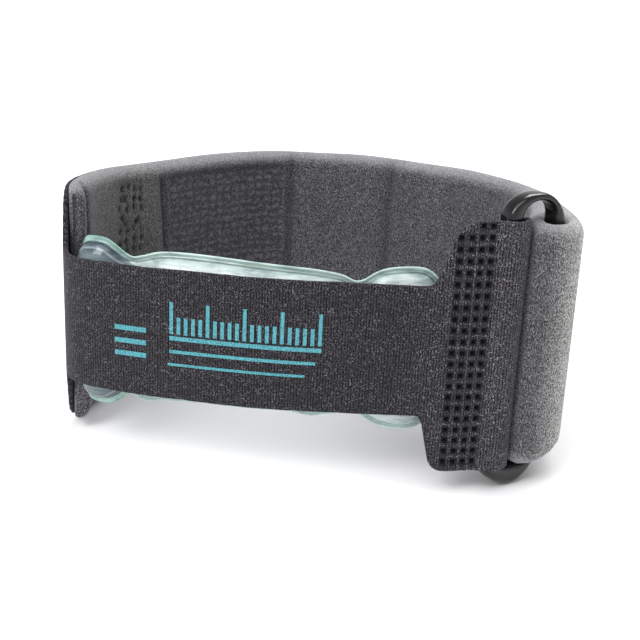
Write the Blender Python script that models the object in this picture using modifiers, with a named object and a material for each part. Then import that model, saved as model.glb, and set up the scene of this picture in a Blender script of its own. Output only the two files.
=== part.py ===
"""A below-knee support band, closed and fastened.

A knit front band runs round a ring's left bar and is welded back on itself. A padded strap is welded to the
band's other end, goes round the back, out through the ring, round its right bar and back over itself, where a
hook patch holds it. An inflated three-lobed cell sits behind the front band.

+X runs along the front from left to right, +Y to the back and +Z up. The pieces are modelled about the
band's middle height. The whole then stands as it would by itself, on the ring's foot and on the lower edge
of the strap at the far left.
"""

import math

import bmesh
import bpy
import numpy as np
from mathutils import Matrix, Vector

# Driving sizes in metres
LOOP_WIDTH = 0.1453  # of the plan line, left side to the ring's right bar
LOOP_DEPTH = 0.1080  # of the plan line, front to back
CLEARANCE = 0.0003  # between pieces that touch

STRAP_WIDTH = 0.0760
STRAP_WIDTH_IN_RING = 0.0740
STRAP_THICKNESS = 0.0050
STRAP_EDGE = 0.0016  # rounding of its edges
STRAP_CORNER = 0.0050  # corner radius of its left end
STRAP_LOOP_SLACK = 0.0022  # of its bend round the ring's right bar
TAIL_CLOSING = 0.0330  # from the ring's right bar to where the tail lies on the strap
TAIL_LAP = 0.0300  # of the tail over the hook patch
TAIL_END_WIDTH = 0.0680
TAIL_CORNER = 0.0160

BAND_WIDE = 0.0780
BAND_NARROW = 0.0403
BAND_NARROW_DROP = 0.0010  # the narrow part's middle below the wide parts' middle
BAND_THICKNESS = 0.0016
BAND_CORNER = 0.0070
BAND_BACK_LENGTH = 0.0440  # of its left end, past the left fold
BAND_LEFT_DROP = 0.0018  # of its wide left end
BAND_LOOP_SLACK = 0.0010  # of its loop round the ring's left bar
FOLD_BACK_LENGTH = 0.0180  # of its right end, inside the front layer
FOLD_BACK_CLOSING = 0.0085  # from the ring's left bar to where the two layers meet
FLARE_REACH = 0.0242  # from the ring's left bar to the narrow part
FLARE_LENGTH = 0.0155
FLARE_LENGTH_BELOW = 0.0085
LEFT_FLARE_BEFORE_FOLD = 0.0095

RING_BAR = 0.0054
RING_END_BAR = 0.0065
RING_DEPTH = 0.0060
RING_EDGE = 0.0015  # rounding of its section
RING_PLAY = 0.0005  # in the window, above and below the front band
SLOT_PLAY = 0.0028  # in the window, between the band and the strap drawn tight
RING_TURN = math.radians(46.0)  # of its face, from the front toward the right side

CELL_HEIGHT = 0.0530
CELL_THICKNESS = 0.0120
CELL_RIM_THICKNESS = 0.0010
CELL_RIM_WIDTH = 0.0030
CELL_DROP = 0.0024  # its middle below the band's
CELL_LAP = 0.0015  # of its right rim behind the band's folded end
CELL_BEFORE_FOLD = 0.0095  # from its left end to the left fold
CELL_LEFT_SETBACK = 0.55  # its left end lies this share as far behind the band

WELD_FROM_END = 0.0055  # from the band's left end to its join with the strap
WELD_LENGTH = 0.0150
PATCH_GAP = 0.0010  # between the band's left end and the hook patch
PATCH_LENGTH = 0.0540
PATCH_HEIGHT = 0.0660
PATCH_THICKNESS = 0.0012
PATCH_CORNER = 0.0050
CREASE_PAST_PATCH = 0.0390
CREASE_HALF_LENGTH = 0.0045

# The line between the band and the strap, seen from above: from the ring along the front to the left, round
# the back and to the ring again. Columns: share of LOOP_WIDTH from the left side, share of LOOP_DEPTH from
# the front.
PLAN_LINE = (
    (0.903, 0.177),
    (0.869, 0.154),
    (0.798, 0.126),
    (0.667, 0.079),
    (0.516, 0.033),
    (0.358, 0.010),
    (0.207, 0.000),
    (0.130, 0.003),
    (0.070, 0.026),
    (0.036, 0.084),
    (0.013, 0.160),
    (0.003, 0.221),
    (0.000, 0.293),
    (0.010, 0.395),
    (0.045, 0.490),
    (0.092, 0.592),
    (0.155, 0.739),
    (0.276, 0.924),
    (0.441, 1.000),
    (0.610, 0.984),
    (0.744, 0.924),
    (0.844, 0.856),
    (0.918, 0.775),
    (0.964, 0.673),
    (0.989, 0.566),
    (0.999, 0.442),
)
LEFT_FOLD_ROW = 10  # the row where the front turns into the left side
RING_PLACE = (0.980, 0.278)  # the ring's middle, in the same shares
FRONT_SLOPE = math.radians(17.0)  # of the front band where it meets the ring

# From the narrow part to a wide part. Columns: share of the flare's length, share of its rise.
FLARE = (
    (0.00, 0.00),
    (0.15, 0.03),
    (0.27, 0.20),
    (0.38, 0.45),
    (0.50, 0.74),
    (0.62, 0.88),
    (0.80, 0.96),
    (1.00, 1.00),
)

# The cell's three lobes. Columns: share of its length from the left, share of its half height, share of its
# full thickness.
CELL_LOBES = (
    (0.000, 0.40, 0.00),
    (0.020, 0.74, 0.25),
    (0.050, 0.97, 0.65),
    (0.085, 1.00, 0.80),
    (0.120, 0.95, 0.62),
    (0.148, 0.87, 0.32),
    (0.170, 0.84, 0.25),
    (0.205, 0.90, 0.55),
    (0.270, 0.93, 0.88),
    (0.430, 0.93, 1.00),
    (0.590, 0.89, 0.92),
    (0.690, 0.86, 0.64),
    (0.742, 0.80, 0.30),
    (0.768, 0.76, 0.22),
    (0.795, 0.82, 0.42),
    (0.830, 0.92, 0.66),
    (0.890, 0.95, 0.80),
    (0.945, 0.93, 0.60),
    (0.980, 0.82, 0.25),
    (1.000, 0.45, 0.00),
)
CELL_ROWS = (0.12, 0.26, 0.42, 0.58, 0.74, 0.88)  # shares of the cell's height between its rims
STRAP_ROWS = (0.25, 0.50, 0.75)  # shares of the strap's height between its edges

# How deep the strap is pressed in, as shares of its thickness
WELD_DENT = 0.28
CREASE_DENT = 0.18

# Colour and roughness of each material
FOAM_CLOTH = ((0.075, 0.073, 0.078), 0.95)
KNIT_WEBBING = ((0.022, 0.020, 0.024), 0.90)
BLACK_PLASTIC = ((0.012, 0.011, 0.012), 0.30)
CLEAR_VINYL = ((0.55, 0.74, 0.68), 0.15)
HOOK_TAPE = ((0.015, 0.015, 0.016), 0.80)

# How finely the pieces are divided
SPLINE_STEPS = 14
ARC_STEPS = 24
LONGEST_STEP = 0.0070
SHARPEST_TURN = math.radians(17.0)
CLOSEST_STATIONS = 0.0007
CORNER_STEPS = 5


# Lines in the plan


def smooth_line(points):
    """A dense line through the points, as a Catmull-Rom curve."""
    p = np.array(points, float)
    q = np.vstack([2 * p[0] - p[1], p, 2 * p[-1] - p[-2]])
    t = np.linspace(0, 1, SPLINE_STEPS, endpoint=False)[:, None]
    runs = []
    for a, b, c, d in zip(q[:-3], q[1:-2], q[2:-1], q[3:]):
        bend = (2 * a - 5 * b + 4 * c - d) * t**2 + (3 * b - a - 3 * c + d) * t**3
        runs.append(0.5 * (2 * b + (c - a) * t + bend))
    return np.vstack(runs + [p[-1:]])


def bridge(before, after):
    """A smooth line from the end of one line to the start of another, without its two ends."""
    a, b = before[-1], after[0]
    span = np.linalg.norm(b - a)
    leave = (a - before[-2]) / np.linalg.norm(a - before[-2]) * span
    arrive = (after[1] - b) / np.linalg.norm(after[1] - b) * span
    t = np.linspace(0, 1, SPLINE_STEPS + 1)[1:-1, None]
    value = (2 * t**3 - 3 * t**2 + 1) * a + (3 * t**2 - 2 * t**3) * b
    return value + (t**3 - 2 * t**2 + t) * leave + (t**3 - t**2) * arrive


def lengths_along(line):
    return np.insert(np.cumsum(np.linalg.norm(np.diff(line, axis=0), axis=1)), 0, 0.0)


def point_at(line, distances):
    along = lengths_along(line)
    return np.stack([np.interp(distances, along, line[:, axis]) for axis in (0, 1)], axis=-1)


def cut_line(line, start, end):
    """The stretch of the line between two lengths along it."""
    along = lengths_along(line)
    inside = (along > start + CLOSEST_STATIONS / 4) & (along < end - CLOSEST_STATIONS / 4)
    return np.vstack([point_at(line, [start]), line[inside], point_at(line, [end])])


def beside(line, distance):
    """The line moved sideways: outward, away from the leg, where the distance is positive."""
    way = np.gradient(line, axis=0)
    way /= np.linalg.norm(way, axis=1)[:, None]
    return line + np.asarray(distance).reshape(-1, 1) * np.stack([-way[:, 1], way[:, 0]], axis=-1)


def arc_round(centre, radius, first, last, slack, way):
    """An arc that stands out by the slack at its middle, in the given direction."""
    angle = np.linspace(first, last, ARC_STEPS + 1)
    loose = slack * np.sin(np.linspace(0, math.pi, ARC_STEPS + 1)) ** 2
    round_arc = np.array(centre) + radius * np.stack([np.cos(angle), np.sin(angle)], axis=-1)
    return round_arc + loose[:, None] * way


def stations(line, extra=()):
    """Lengths along the line where a section goes: closer in the bends, and at every extra length."""
    along = lengths_along(line)
    way = np.diff(line, axis=0)
    heading = np.unwrap(np.arctan2(way[:, 1], way[:, 0]))
    chosen = [0.0]
    turned = 0.0
    for i in range(1, len(heading)):
        turned += abs(heading[i] - heading[i - 1])
        if along[i] - chosen[-1] > LONGEST_STEP or turned > SHARPEST_TURN:
            chosen.append(along[i])
            turned = 0.0
    total = along[-1]
    fixed = [0.0, total] + [e for e in extra if CLOSEST_STATIONS < e < total - CLOSEST_STATIONS]
    free = [c for c in chosen if min(abs(c - e) for e in fixed) > CLOSEST_STATIONS]
    return np.array(sorted(free + fixed))


def corner_drop(distance, radius):
    """How far a rounded corner takes an edge in, at a distance from the end."""
    inside = np.clip(radius - np.asarray(distance), 0, radius)
    return radius - np.sqrt(radius**2 - inside**2)


def corner_places(radius):
    return [radius * (1 - math.cos(math.radians(turn))) for turn in (30, 50, 70, 90)]


# The plan's main places

PLAN_SIZE = np.array([LOOP_WIDTH, LOOP_DEPTH])
BAR_RADIUS = RING_EDGE + math.hypot(RING_BAR / 2 - RING_EDGE, RING_DEPTH / 2 - RING_EDGE)  # to its corners
BAR_SPACING = 2 * (BAR_RADIUS + CLEARANCE) + BAND_THICKNESS + STRAP_THICKNESS + SLOT_PLAY
RING_HEIGHT = BAND_WIDE + 2 * (RING_PLAY + RING_END_BAR)
RING_MIDDLE = np.array(RING_PLACE) * PLAN_SIZE
RING_WAY = np.array([math.cos(RING_TURN), math.sin(RING_TURN)])
LEFT_BAR = RING_MIDDLE - RING_WAY * BAR_SPACING / 2
RIGHT_BAR = RING_MIDDLE + RING_WAY * BAR_SPACING / 2
BAR_TO_LINE = BAR_RADIUS + CLEARANCE / 2
BAND_TO_LINE = (CLEARANCE + BAND_THICKNESS) / 2
STRAP_TO_LINE = (CLEARANCE + STRAP_THICKNESS) / 2
PATCH_TO_LINE = (CLEARANCE + PATCH_THICKNESS) / 2
TAIL_TO_LINE = CLEARANCE * 1.5 + PATCH_THICKNESS + STRAP_THICKNESS / 2


def plan_line():
    front_side = np.array([math.sin(FRONT_SLOPE), -math.cos(FRONT_SLOPE)])
    first = LEFT_BAR + BAR_TO_LINE * front_side
    last = RIGHT_BAR - np.array([BAR_TO_LINE, 0.0])
    return smooth_line(np.vstack([first, np.array(PLAN_LINE) * PLAN_SIZE, last]))


LINE = plan_line()
LINE_LENGTH = lengths_along(LINE)[-1]
FOLD_POINT = np.array(PLAN_LINE[LEFT_FOLD_ROW]) * PLAN_SIZE
FOLD = lengths_along(LINE)[np.argmin(np.linalg.norm(LINE - FOLD_POINT, axis=1))]
PATCH_START = FOLD + BAND_BACK_LENGTH + PATCH_GAP
PATCH_END = PATCH_START + PATCH_LENGTH


def band_line():
    """The front band's middle line and the length along it to where it leaves the ring's left bar."""
    outer = beside(cut_line(LINE, 0, FOLD + BAND_BACK_LENGTH), BAND_TO_LINE)
    inner = beside(cut_line(LINE, FOLD_BACK_CLOSING, FOLD_BACK_LENGTH), -BAND_TO_LINE)[::-1]
    front = FRONT_SLOPE - math.pi / 2
    radius = BAR_TO_LINE + BAND_TO_LINE
    wrap = arc_round(LEFT_BAR, radius, math.radians(150.0), front, BAND_LOOP_SLACK, RING_WAY)
    folded = np.vstack([inner, bridge(inner, wrap), wrap[:-1]])
    line = np.vstack([folded, outer])
    return line, lengths_along(line)[len(folded)]


def strap_line():
    """The padded strap's middle line and the length along it to the ring's right bar."""
    layer = beside(cut_line(LINE, FOLD, LINE_LENGTH), -STRAP_TO_LINE)
    radius = BAR_TO_LINE + STRAP_TO_LINE
    wrap = arc_round(RIGHT_BAR, radius, math.pi, 2 * math.pi, STRAP_LOOP_SLACK, -RING_WAY)
    lying = cut_line(LINE, PATCH_END - TAIL_LAP, LINE_LENGTH - TAIL_CLOSING)
    tail = beside(lying, TAIL_TO_LINE)[::-1]
    line = np.vstack([layer, wrap[1:], bridge(wrap, tail), tail])
    return line, lengths_along(line)[len(layer) + ARC_STEPS // 2]


def cell_line():
    """The air cell's middle line from its left end, closer to the band there."""
    stretch = cut_line(LINE, FOLD_BACK_LENGTH - CELL_LAP, FOLD - CELL_BEFORE_FOLD)[::-1]
    along = lengths_along(stretch)
    behind = CLEARANCE + CELL_THICKNESS / 2
    setback = np.interp(along / along[-1], (0, 0.16), (behind * CELL_LEFT_SETBACK, behind))
    return beside(stretch[::-1], -setback[::-1])[::-1]


# Solids


def material(name, look):
    colour, roughness = look
    made = bpy.data.materials.new(name)
    made.use_nodes = True
    shader = made.node_tree.nodes["Principled BSDF"]
    shader.inputs["Base Color"].default_value = (*colour, 1.0)
    shader.inputs["Roughness"].default_value = roughness
    shader.inputs["Metallic"].default_value = 0.0
    made.diffuse_color = (*colour, 1.0)
    return made


def strip(name, points, low, high, rows, thickness, fill=None, least=0.0):
    """An upright sheet over the plan points, given its thickness by Solidify.

    rows are the shares of the height between the edges. fill holds each point's share of the thickness, a
    row of values for each plan point, and least is the share where fill is zero.
    """
    shares = np.array([0.0, *rows, 1.0])
    mesh = bpy.data.meshes.new(name)
    form = bmesh.new()
    columns = []
    for (x, y), bottom, top in zip(points, low, high):
        columns.append([form.verts.new((x, y, bottom + share * (top - bottom))) for share in shares])
    for first, second in zip(columns[:-1], columns[1:]):
        for i in range(len(shares) - 1):
            form.faces.new((first[i], second[i], second[i + 1], first[i + 1]))
    form.to_mesh(mesh)
    form.free()
    mesh.shade_smooth()
    sheet = bpy.data.objects.new(name, mesh)
    solid = sheet.modifiers.new("thickness", "SOLIDIFY")
    solid.thickness = thickness
    solid.offset = 0.0
    if fill is not None:
        group = sheet.vertex_groups.new(name="fill")
        for index, share in enumerate(np.ravel(fill)):
            group.add([index], float(share), "REPLACE")
        solid.vertex_group = group.name
        solid.thickness_vertex_group = least
    return sheet


def round_edges(solid, width, segments):
    bevel = solid.modifiers.new("edges", "BEVEL")
    bevel.width = width
    bevel.segments = segments
    bevel.limit_method = "ANGLE"
    bevel.angle_limit = math.radians(50.0)


def flared(distance, length):
    """The share of the rise from narrow to wide at a distance past the flare's narrow end."""
    places, rises = zip(*FLARE)
    return np.interp(np.asarray(distance) / length, places, rises)


def band_edges(along, total, bar):
    """The front band's lower and upper edge heights at lengths along its line."""
    from_bar = np.abs(along - bar)
    past_left = along - (bar + FOLD - LEFT_FLARE_BEFORE_FOLD)
    end = np.minimum(along, total - along)
    edges = []
    for side, length in ((-1, FLARE_LENGTH_BELOW), (1, FLARE_LENGTH)):
        rise = np.maximum(flared(FLARE_REACH - from_bar, length), flared(past_left, FLARE_LENGTH))
        rise[along < bar] = flared(FLARE_REACH - from_bar[along < bar], length)
        narrow = side * BAND_NARROW / 2 - BAND_NARROW_DROP
        height = narrow + rise * (side * BAND_WIDE / 2 - narrow)
        drop = BAND_LEFT_DROP * flared(past_left, FLARE_LENGTH)
        edges.append(height - drop - side * corner_drop(end, BAND_CORNER) * (rise > 0.99))
    return edges


def front_band():
    line, bar = band_line()
    total = lengths_along(line)[-1]
    flare_ends = []
    for place, _ in FLARE:
        flare_ends += [bar + FLARE_REACH - place * length for length in (FLARE_LENGTH, FLARE_LENGTH_BELOW)]
        flare_ends += [bar - FLARE_REACH + place * length for length in (FLARE_LENGTH, FLARE_LENGTH_BELOW)]
        flare_ends.append(bar + FOLD - LEFT_FLARE_BEFORE_FOLD + place * FLARE_LENGTH)
    extra = thinned(flare_ends) + [total - place for place in corner_places(BAND_CORNER)]
    along = stations(line, extra)
    low, high = band_edges(along, total, bar)
    return strip("front_band", point_at(line, along), low, high, (0.5,), BAND_THICKNESS)


def thinned(places):
    """The sorted places without any that lie too close to the one before."""
    kept = []
    for place in sorted(places):
        if not kept or place - kept[-1] > CLOSEST_STATIONS:
            kept.append(place)
    return kept


def dent(along, centre, half_length, depth):
    return depth * np.clip(1 - ((along - centre) / half_length) ** 2, 0, 1)


def back_strap():
    line, bar = strap_line()
    total = lengths_along(line)[-1]
    weld = BAND_BACK_LENGTH - WELD_FROM_END - WELD_LENGTH / 2
    creases = (PATCH_END - FOLD, PATCH_END - FOLD + CREASE_PAST_PATCH)
    extra = corner_places(STRAP_CORNER) + [total - place for place in corner_places(TAIL_CORNER)]
    for centre, half in ((weld, WELD_LENGTH / 2), *((c, CREASE_HALF_LENGTH) for c in creases)):
        extra += [centre - half, centre, centre + half]
    along = stations(line, thinned(extra))
    widths = (STRAP_WIDTH, STRAP_WIDTH, STRAP_WIDTH_IN_RING, TAIL_END_WIDTH)
    half_width = np.interp(along, (0, bar - TAIL_CLOSING, bar, total), widths) / 2
    corners = corner_drop(along, STRAP_CORNER) + corner_drop(total - along, TAIL_CORNER)
    fill = 1 - dent(along, weld, WELD_LENGTH / 2, WELD_DENT)
    for crease in creases:
        fill = fill - dent(along, crease, CREASE_HALF_LENGTH, CREASE_DENT)
    fill = np.repeat(fill[:, None], len(STRAP_ROWS) + 2, axis=1)
    high = half_width - corners
    strap = strip("back_strap", point_at(line, along), -high, high, STRAP_ROWS, STRAP_THICKNESS, fill)
    round_edges(strap, STRAP_EDGE, 2)
    return strap


def air_cell():
    line = cell_line()
    total = lengths_along(line)[-1]
    places, heights, fills = (np.array(column) for column in zip(*CELL_LOBES))
    between = (places[1:] + places[:-1]) / 2
    along = np.sort(np.concatenate([places, between[np.diff(places) > 0.06]])) * total
    half_height = np.interp(along / total, places, heights) * CELL_HEIGHT / 2
    rim = CELL_RIM_WIDTH / CELL_HEIGHT
    rows = (rim, *CELL_ROWS, 1 - rim)
    across = np.array([0.0, *rows, 1.0])
    inside = np.clip(np.abs(2 * across - 1) / (1 - 2 * rim), 0, 1)
    pillow = (1 - inside**2.4) ** 0.6
    fill = np.outer(np.interp(along / total, places, fills), pillow)
    least = CELL_RIM_THICKNESS / CELL_THICKNESS
    low = -half_height - CELL_DROP
    high = half_height - CELL_DROP
    return strip("air_cell", point_at(line, along), low, high, rows, CELL_THICKNESS, fill, least)


def hook_patch():
    line = beside(cut_line(LINE, PATCH_START, PATCH_END), PATCH_TO_LINE)
    total = lengths_along(line)[-1]
    corners = corner_places(PATCH_CORNER)
    along = stations(line, corners + [total - place for place in corners])
    high = PATCH_HEIGHT / 2 - corner_drop(np.minimum(along, total - along), PATCH_CORNER)
    return strip("hook_patch", point_at(line, along), -high, high, (0.5,), PATCH_THICKNESS)


def add_outline(curve, width, height, radius):
    """A rectangle with round corners, in the curve's own plane."""
    points = []
    for quarter, (right, up) in enumerate(((1, 1), (-1, 1), (-1, -1), (1, -1))):
        first = quarter * math.pi / 2
        for angle in np.linspace(first, first + math.pi / 2, CORNER_STEPS + 1):
            out = right * (width / 2 - radius) + radius * math.cos(angle)
            rise = up * (height / 2 - radius) + radius * math.sin(angle)
            points.append((out, rise, 0.0, 1.0))
    spline = curve.splines.new("POLY")
    spline.points.add(len(points) - 1)
    for point, place in zip(spline.points, points):
        point.co = place
    spline.use_cyclic_u = True


def ring():
    curve = bpy.data.curves.new("ring", "CURVE")
    curve.dimensions = "2D"
    curve.fill_mode = "BOTH"
    corner = RING_PLAY + RING_END_BAR
    add_outline(curve, BAR_SPACING + RING_BAR - 2 * RING_EDGE, RING_HEIGHT - 2 * RING_EDGE, corner - RING_EDGE)
    window_height = RING_HEIGHT - 2 * RING_END_BAR
    add_outline(
        curve, BAR_SPACING - RING_BAR + 2 * RING_EDGE, window_height + 2 * RING_EDGE, RING_PLAY + RING_EDGE
    )
    curve.extrude = RING_DEPTH / 2 - RING_EDGE
    curve.bevel_depth = RING_EDGE
    curve.bevel_resolution = 1
    made = bpy.data.objects.new("ring", curve)
    made.location = (*RING_MIDDLE, 0.0)
    made.rotation_euler = (math.pi / 2, 0.0, RING_TURN)
    return made


# The resting place


def solid_of(part, graph):
    """The corners of the part's solid, its volume, and its centre times its volume."""
    shown = part.evaluated_get(graph)
    mesh = shown.to_mesh()
    mesh.calc_loop_triangles()
    corners = np.array([shown.matrix_world @ vertex.co for vertex in mesh.vertices])
    faces = corners[np.array([tuple(face.vertices) for face in mesh.loop_triangles])]
    shown.to_mesh_clear()
    volumes = np.linalg.det(faces) / 6
    return corners, volumes.sum(), volumes @ faces.sum(axis=1) / 4


def way_down(corners, balance):
    """The outward normal of the hull's face that lies under the balance point."""
    form = bmesh.new()
    for corner in corners:
        form.verts.new(corner)
    bmesh.ops.convex_hull(form, input=form.verts)
    down = Vector((0.0, 0.0, -1.0))
    for face in form.faces:
        if face.normal.z < -0.9 and bmesh.geometry.intersect_face_point(face, balance):
            down = face.normal.copy()
    form.free()
    return down


def stand(holder, parts):
    """Turns the whole to where it stands by itself, with its origin at the middle of its footprint."""
    bpy.context.view_layer.update()
    graph = bpy.context.evaluated_depsgraph_get()
    solids = [solid_of(part, graph) for part in parts]
    corners = np.vstack([solid[0] for solid in solids])
    balance = sum(solid[2] for solid in solids) / sum(solid[1] for solid in solids)
    turn = way_down(corners, balance).rotation_difference(Vector((0.0, 0.0, -1.0))).to_matrix()
    corners = corners @ np.array(turn).T
    low, high = corners.min(axis=0), corners.max(axis=0)
    shift = Vector((-(low[0] + high[0]) / 2, -(low[1] + high[1]) / 2, -low[2]))
    holder.matrix_world = Matrix.Translation(shift) @ turn.to_4x4()


def main():
    for old in list(bpy.data.objects):
        bpy.data.objects.remove(old, do_unlink=True)
    collection = bpy.data.collections.new("patella_strap")
    bpy.context.scene.collection.children.link(collection)
    holder = bpy.data.objects.new("rest_pose", None)
    collection.objects.link(holder)
    foam = material("foam_cloth", FOAM_CLOTH)
    knit = material("knit_webbing", KNIT_WEBBING)
    plastic = material("black_plastic", BLACK_PLASTIC)
    vinyl = material("clear_vinyl", CLEAR_VINYL)
    hooks = material("hook_tape", HOOK_TAPE)
    parts = []
    for make, look in (
        (front_band, knit),
        (back_strap, foam),
        (ring, plastic),
        (air_cell, vinyl),
        (hook_patch, hooks),
    ):
        part = make()
        part.data.materials.append(look)
        part.parent = holder
        collection.objects.link(part)
        parts.append(part)
    stand(holder, parts)


main()
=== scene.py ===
import math

import bmesh
import bpy
import numpy as np
from mathutils import Matrix, Vector


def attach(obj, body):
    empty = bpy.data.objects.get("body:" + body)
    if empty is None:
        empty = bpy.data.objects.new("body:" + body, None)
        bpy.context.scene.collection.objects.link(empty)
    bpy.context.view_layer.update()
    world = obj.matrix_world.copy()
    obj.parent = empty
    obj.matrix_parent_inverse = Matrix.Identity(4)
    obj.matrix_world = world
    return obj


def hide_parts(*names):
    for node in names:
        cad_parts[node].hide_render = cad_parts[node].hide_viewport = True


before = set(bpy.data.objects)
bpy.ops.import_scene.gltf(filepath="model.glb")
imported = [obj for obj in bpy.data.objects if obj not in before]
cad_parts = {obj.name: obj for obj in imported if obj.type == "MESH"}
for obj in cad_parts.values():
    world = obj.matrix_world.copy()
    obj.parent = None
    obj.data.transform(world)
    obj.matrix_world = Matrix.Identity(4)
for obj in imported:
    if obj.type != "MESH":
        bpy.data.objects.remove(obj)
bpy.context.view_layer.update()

# The plan in metres, in the strap frame, before the whole leans to stand. It is the solids' plan, but for the
# strap's start, its slack, its lower left edge and the cell's left end, which follow the photograph here
LOOP_WIDTH = 0.1453
LOOP_DEPTH = 0.1080
CLEARANCE = 0.0003

STRAP_WIDTH = 0.0760
STRAP_WIDTH_IN_RING = 0.0740
STRAP_THICKNESS = 0.0050
STRAP_CORNER = 0.0030
STRAP_BACK_ROUNDING = 0.0012  # how far its edge is rounded on the side that is welded flat
STRAP_END_ROUNDING = 0.0013  # how far its ends are rounded
STRAP_BEFORE_FOLD = 0.0045  # from its left end to the left fold
STRAP_LOOP_SLACK = 0.0038
STRAP_LOOP_WAY = (-0.35, -0.94)  # where its loop is slack: toward the band's loop and the front
TAIL_CLOSING = 0.0330
TAIL_LAP = 0.0300
TAIL_END_WIDTH = 0.0680
TAIL_CORNER = 0.0160

BAND_WIDE = 0.0780
BAND_NARROW = 0.0403
BAND_NARROW_DROP = 0.0010
BAND_THICKNESS = 0.0016
BAND_CORNER = 0.0070
BAND_BACK_LENGTH = 0.0440
BAND_LEFT_DROP = 0.0018
BAND_LOOP_SLACK = 0.0010
FOLD_BACK_LENGTH = 0.0180
FOLD_BACK_CLOSING = 0.0085
FLARE_REACH = 0.0242
FLARE_LENGTH = 0.0155
FLARE_LENGTH_BELOW = 0.0085
LEFT_FLARE_BEFORE_FOLD = 0.0095

RING_BAR = 0.0054
RING_END_BAR = 0.0065
RING_DEPTH = 0.0060
RING_EDGE = 0.0015
RING_PLAY = 0.0005
SLOT_PLAY = 0.0028
RING_TURN = math.radians(46.0)
WINDOW_SQUARENESS = 2.2
# The ring's ends, top then bottom. Columns: way, rise of the window's round end beyond the band, squareness
# of the outline, how much sooner the right side of the outline starts to round
RING_ENDS = (
    (1, 0.0046, 2.0, 0.007),
    (-1, 0.0005, 1.75, 0.010),
)

CELL_HEIGHT = 0.0530
CELL_THICKNESS = 0.0120
CELL_DROP = 0.0024
CELL_LAP = 0.0015
CELL_BEFORE_FOLD = 0.0065
CELL_LEFT_SETBACK = 0.55
CELL_RIM = 0.0017  # width of its welded rim
CELL_RIM_THICKNESS = 0.0005

WELD_FROM_END = 0.0055
WELD_LENGTH = 0.0150
PATCH_GAP = 0.0010
PATCH_LENGTH = 0.0540
PATCH_HEIGHT = 0.0660
PATCH_THICKNESS = 0.0012
PATCH_CORNER = 0.0050
CREASE_PAST_PATCH = 0.0390

# Columns: share of LOOP_WIDTH from the left side, share of LOOP_DEPTH from the front
PLAN_LINE = (
    (0.903, 0.177),
    (0.869, 0.154),
    (0.798, 0.126),
    (0.667, 0.079),
    (0.516, 0.033),
    (0.358, 0.010),
    (0.207, 0.000),
    (0.130, 0.003),
    (0.070, 0.026),
    (0.036, 0.084),
    (0.013, 0.160),
    (0.003, 0.221),
    (0.000, 0.293),
    (0.010, 0.395),
    (0.045, 0.490),
    (0.092, 0.592),
    (0.155, 0.739),
    (0.276, 0.924),
    (0.441, 1.000),
    (0.610, 0.984),
    (0.744, 0.924),
    (0.844, 0.856),
    (0.918, 0.775),
    (0.964, 0.673),
    (0.989, 0.566),
    (0.999, 0.442),
)
LEFT_FOLD_ROW = 10
RING_PLACE = (0.980, 0.278)
FRONT_SLOPE = math.radians(17.0)

# Columns: share of the flare's length, share of its rise
FLARE = (
    (0.00, 0.00),
    (0.15, 0.03),
    (0.27, 0.20),
    (0.38, 0.45),
    (0.50, 0.74),
    (0.62, 0.88),
    (0.80, 0.96),
    (1.00, 1.00),
)

# The cell's lobes. Columns: share of its length from the left, shares of its half height above and below its
# middle, share of its thickness
CELL_LOBES = (
    (0.000, 0.30, 0.30, 0.20),
    (0.006, 0.52, 0.50, 0.24),
    (0.022, 0.80, 0.78, 0.40),
    (0.045, 0.96, 0.95, 0.62),
    (0.075, 1.02, 1.00, 0.78),
    (0.118, 1.02, 1.00, 0.78),
    (0.145, 0.97, 0.95, 0.62),
    (0.172, 0.89, 0.87, 0.34),
    (0.196, 0.84, 0.84, 0.25),
    (0.226, 0.87, 0.90, 0.50),
    (0.285, 0.93, 0.87, 0.88),
    (0.440, 0.93, 0.84, 1.00),
    (0.600, 0.89, 0.84, 0.92),
    (0.665, 0.87, 0.88, 0.75),
    (0.705, 0.85, 0.86, 0.52),
    (0.740, 0.82, 0.82, 0.34),
    (0.765, 0.77, 0.77, 0.23),
    (0.785, 0.78, 0.79, 0.26),
    (0.812, 0.86, 0.88, 0.48),
    (0.842, 0.92, 0.95, 0.66),
    (0.893, 0.95, 0.99, 0.80),
    (0.945, 0.93, 0.96, 0.60),
    (0.980, 0.80, 0.80, 0.35),
    (0.994, 0.62, 0.62, 0.22),
    (1.000, 0.38, 0.38, 0.20),
)

# The welds: pits pressed in from the band's outer face
PIT_PITCH_ALONG = 0.0030
PIT_PITCH_DOWN = 0.003465
PIT_HALF = 0.00070
PIT_FLOOR_HALF = 0.00052
PIT_DEPTH = 0.0009
PIT_ROWS = 21
PIT_TOP = 0.0340
PIT_COLUMNS = 4
PIT_FIRST = 0.0060  # from the ring's left bar
FOLDED_PIT_FIRST = 0.0020  # from the folded end

# The print: a plain measuring scale. Columns: start and end from the ring's left bar, low edge, height
PRINT_BARS = (
    (0.0529, 0.0980, -0.0022, 0.0013),
    (0.0545, 0.0980, -0.0062, 0.0010),
    (0.0575, 0.0985, -0.0102, 0.0008),
    (0.1053, 0.1153, -0.0008, 0.0015),
    (0.1053, 0.1153, -0.0048, 0.0015),
    (0.1053, 0.1153, -0.0088, 0.0015),
)
TICK_WIDTH = 0.0011
TICK_COUNT = 21
TICK_SHORT = 0.0052
TICK_LONG = 0.0098
PRINT_RISE = 0.00016
PRINT_GAP = 0.0007  # between the ticks and the line below them

RIM_REACHES = (0.0066, 0.0055, 0.0040)  # how far the strap's edge is rounded at its left end, near it, beyond

STRAP_LEFT_SAG = 0.0028  # of its lower edge near the left end
# How far the strap's lower edge is off level near the ring's right bar: lengths past the bar, heights
TAIL_LIFT = ((-0.030, -0.006, 0.000, 0.014, 0.060), (0.0, -0.0024, -0.0012, 0.0024, 0.0))

STEPS = 40  # points between two rows of a plan table
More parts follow.
